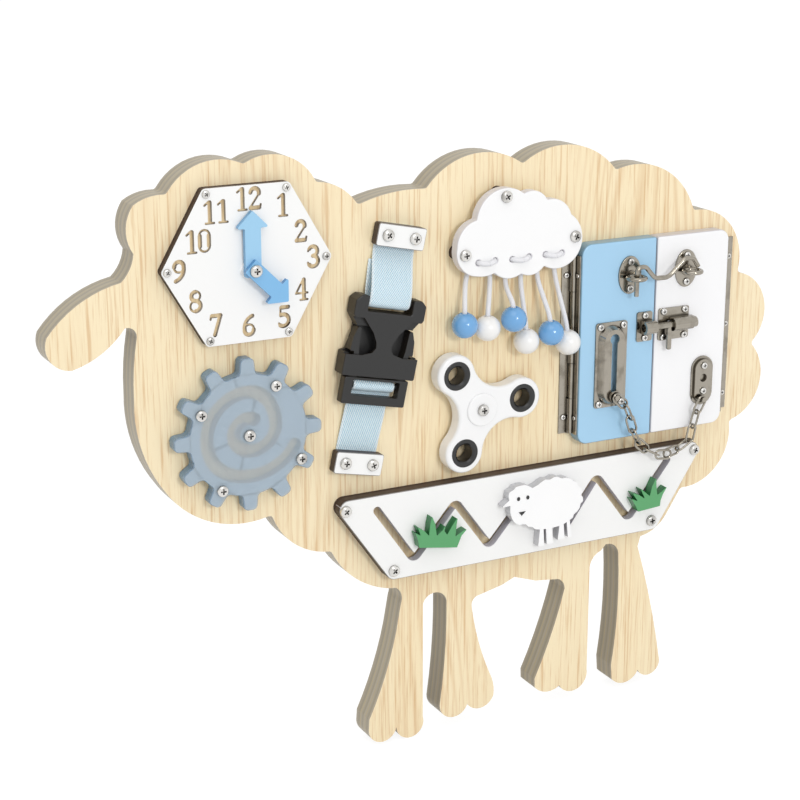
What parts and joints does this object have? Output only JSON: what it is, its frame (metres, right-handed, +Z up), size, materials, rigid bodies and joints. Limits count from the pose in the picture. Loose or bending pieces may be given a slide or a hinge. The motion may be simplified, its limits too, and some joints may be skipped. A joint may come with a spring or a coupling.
{
  "type": "wooden busy board",
  "caption": "Sheep-shaped wooden activity board with clock, spiral disc, strap buckle, knotted cords, spinner, latched doors and zigzag sliders for small children.",
  "frame": {"origin": "a point on the board's flat back face, near the middle of the sheep's body", "axes": "+X right as hung and seen from the front, +Y into the wall, +Z up; the front faces -Y"},
  "size_m": [0.4818, 0.0414, 0.3767],
  "materials": {
    "plywood": "clear satin lacquer",
    "white_plywood": "white face, darkened plywood edge",
    "bare_plywood": "laser-darkened edge",
    "screw_steel": "bright zinc",
    "hour_hand_paint": "painted",
    "minute_hand_paint": "painted",
    "green_paint": "painted",
    "gear_plastic": "satin",
    "clear_cover": "frosted clear",
    "white_plastic": "gloss",
    "black_plastic": "satin",
    "webbing": "woven",
    "cord": "braided",
    "blue_bead": "painted",
    "white_bead": "painted",
    "blue_paint": "painted",
    "white_paint": "painted",
    "hardware_steel": "bright plated"
  },
  "bodies": {
    "board": {"board_panel": "plywood", "clock_backing_plate": "bare_plywood", "clock_face_plate": "white_plywood", "clock_screws": "screw_steel", "axle_screws": "screw_steel", "axle_bushings": "white_plastic", "strap_clamp_plates": "white_plywood", "panel_screws": "screw_steel", "upper_strap": "webbing", "lower_strap": "webbing", "buckle_receiver": "black_plastic", "cloud_plate": "white_plywood", "cloud_spacers": "bare_plywood", "hinge_board_leaves": "hardware_steel", "hinge_board_screws": "screw_steel", "track_frame": "bare_plywood", "track_face_plate": "white_plywood"},
    "minute_hand": {"minute_hand": "minute_hand_paint"},
    "hour_hand": {"hour_hand": "hour_hand_paint"},
    "gear": {"gear_disc": "gear_plastic", "gear_cover": "clear_cover", "gear_cover_screws": "screw_steel"},
    "spinner": {"spinner_body": "white_plastic", "spinner_ring_inserts": "black_plastic", "spinner_cap": "white_plastic"},
    "left_door": {"left_door": "blue_paint", "left_hinge_door_leaf": "hardware_steel", "left_door_screws": "screw_steel", "hook_eye_plate_left": "hardware_steel", "bolt_keeper": "hardware_steel", "chain_slot_plate": "hardware_steel"},
    "right_door": {"right_door": "white_paint", "right_hinge_door_leaf": "hardware_steel", "right_door_screws": "screw_steel", "hook_eye_plate_right": "hardware_steel", "bolt_plate": "hardware_steel", "chain_anchor_plate": "hardware_steel"},
    "hook": {"cabin_hook": "hardware_steel"},
    "bolt": {"bolt_rod": "hardware_steel"},
    "chain_slider": {"chain_slider": "hardware_steel"},
    "left_chain": {"chain_left_links": "hardware_steel"},
    "right_chain": {"chain_right_links": "hardware_steel"},
    "buckle_plug": {"buckle_plug": "black_plastic"},
    "buckle_left_arm": {"buckle_left_arm": "black_plastic"},
    "buckle_right_arm": {"buckle_right_arm": "black_plastic"},
    "sheep": {"sheep_slider": "white_plywood"},
    "left_grass": {"left_grass_slider": "green_paint"},
    "right_grass": {"right_grass_slider": "green_paint"},
    "strand_1": {"cord_1": "cord", "bead_1": "blue_bead"},
    "strand_2": {"cord_2": "cord", "bead_2": "white_bead"},
    "strand_3": {"cord_3": "cord", "bead_3": "blue_bead"},
    "strand_4": {"cord_4": "cord", "bead_4": "white_bead"},
    "strand_5": {"cord_5": "cord", "bead_5": "blue_bead"},
    "strand_6": {"cord_6": "cord", "bead_6": "white_bead"}
  },
  "joints": [
    {"name": "minute_hand_turn", "type": "hinge", "parent": "board", "child": "minute_hand", "pos_m": [-0.1232, -0.0265, 0.1254], "axis": [0, 1, 0], "continuous": true},
    {"name": "hour_hand_turn", "type": "hinge", "parent": "board", "child": "hour_hand", "pos_m": [-0.1232, -0.0296, 0.1254], "axis": [0, 1, 0], "continuous": true},
    {"name": "gear_spin", "type": "hinge", "parent": "board", "child": "gear", "pos_m": [-0.128, -0.023, 0.0294], "axis": [0, 1, 0], "continuous": true},
    {"name": "spinner_spin", "type": "hinge", "parent": "board", "child": "spinner", "pos_m": [0.0221, -0.025, 0.0247], "axis": [0, 1, 0], "continuous": true},
    {"name": "left_door_swing", "type": "hinge", "parent": "board", "child": "left_door", "pos_m": [0.0913, -0.0206, 0.054], "axis": [0, 0, -1], "range_deg": [0, 50]},
    {"name": "right_door_swing", "type": "hinge", "parent": "board", "child": "right_door", "pos_m": [0.2039, -0.0206, 0.054], "axis": [0, 0, -1], "range_deg": [-50, 0]},
    {"name": "hook_lift", "type": "hinge", "parent": "left_door", "child": "hook", "pos_m": [0.1282, -0.0345, 0.0955], "axis": [0, -1, 0], "range_deg": [0, 45]},
    {"name": "bolt_slide", "type": "slide", "parent": "right_door", "child": "bolt", "axis": [1, 0, 0], "range_m": [-0.0082, 0]},
    {"name": "chain_slider_slide", "type": "slide", "parent": "left_door", "child": "chain_slider", "axis": [0, 0, 1], "range_m": [0, 0.037]},
    {"name": "left_chain_swing", "type": "hinge", "parent": "chain_slider", "child": "left_chain", "pos_m": [0.1152, -0.0353, 0.021], "axis": [0, -1, 0], "range_deg": [-10, 4]},
    {"name": "right_chain_swing", "type": "hinge", "parent": "right_door", "child": "right_chain", "pos_m": [0.18407, -0.032, 0.00953], "axis": [0, -1, 0], "range_deg": [0, 10]},
    {"name": "strand_1_swing", "type": "hinge", "parent": "board", "child": "strand_1", "pos_m": [0.0146, -0.02185, 0.105], "axis": [-1, 0, 0], "range_deg": [0, 60], "deforming": ["cord_1"]},
    {"name": "strand_2_swing", "type": "hinge", "parent": "board", "child": "strand_2", "pos_m": [0.0313, -0.02185, 0.1044], "axis": [-1, 0, 0], "range_deg": [0, 60], "deforming": ["cord_2"]},
    {"name": "strand_3_swing", "type": "hinge", "parent": "board", "child": "strand_3", "pos_m": [0.0414, -0.02185, 0.0989], "axis": [-1, 0, 0], "range_deg": [0, 60], "deforming": ["cord_3"]},
    {"name": "strand_4_swing", "type": "hinge", "parent": "board", "child": "strand_4", "pos_m": [0.052, -0.02185, 0.1012], "axis": [-1, 0, 0], "range_deg": [0, 60], "deforming": ["cord_4"]},
    {"name": "strand_5_swing", "type": "hinge", "parent": "board", "child": "strand_5", "pos_m": [0.0632, -0.02185, 0.1018], "axis": [-1, 0, 0], "range_deg": [0, 60], "deforming": ["cord_5"]},
    {"name": "strand_6_swing", "type": "hinge", "parent": "board", "child": "strand_6", "pos_m": [0.0752, -0.02185, 0.1052], "axis": [-1, 0, 0], "range_deg": [0, 60], "deforming": ["cord_6"]},
    {"name": "buckle_release", "type": "slide", "parent": "board", "child": "buckle_plug", "axis": [-0.2079, 0, -0.9781], "range_m": [0, 0.018], "deforming": ["lower_strap", "buckle_left_arm", "buckle_right_arm"]},
    {"name": "left_arm_squeeze", "type": "hinge", "parent": "buckle_plug", "child": "buckle_left_arm", "pos_m": [-0.06293, -0.0244, 0.05627], "axis": [0, 1, 0], "range_deg": [0, 11], "stiffness_Nm_per_rad": 0.4},
    {"name": "right_arm_squeeze", "type": "hinge", "parent": "buckle_plug", "child": "buckle_right_arm", "pos_m": [-0.03163, -0.0244, 0.04962], "axis": [0, -1, 0], "range_deg": [0, 11], "stiffness_Nm_per_rad": 0.4},
    {"name": "sheep_slide", "type": "slide", "parent": "board", "child": "sheep", "axis": [0.6023, 0, -0.7982], "range_m": [-0.006, 0.024]},
    {"name": "left_grass_slide", "type": "slide", "parent": "board", "child": "left_grass", "axis": [0.6616, 0, 0.7498], "range_m": [-0.013, 0.017]},
    {"name": "right_grass_slide", "type": "slide", "parent": "board", "child": "right_grass", "axis": [0.6308, 0, 0.7759], "range_m": [-0.0065, 0.012]}
  ],
  "couplings": [
    {"joint": "right_door_swing", "follows": "left_door_swing", "ratio": -1},
    {"joint": "strand_6_swing", "follows": "left_door_swing", "ratio": 1}
  ]
}
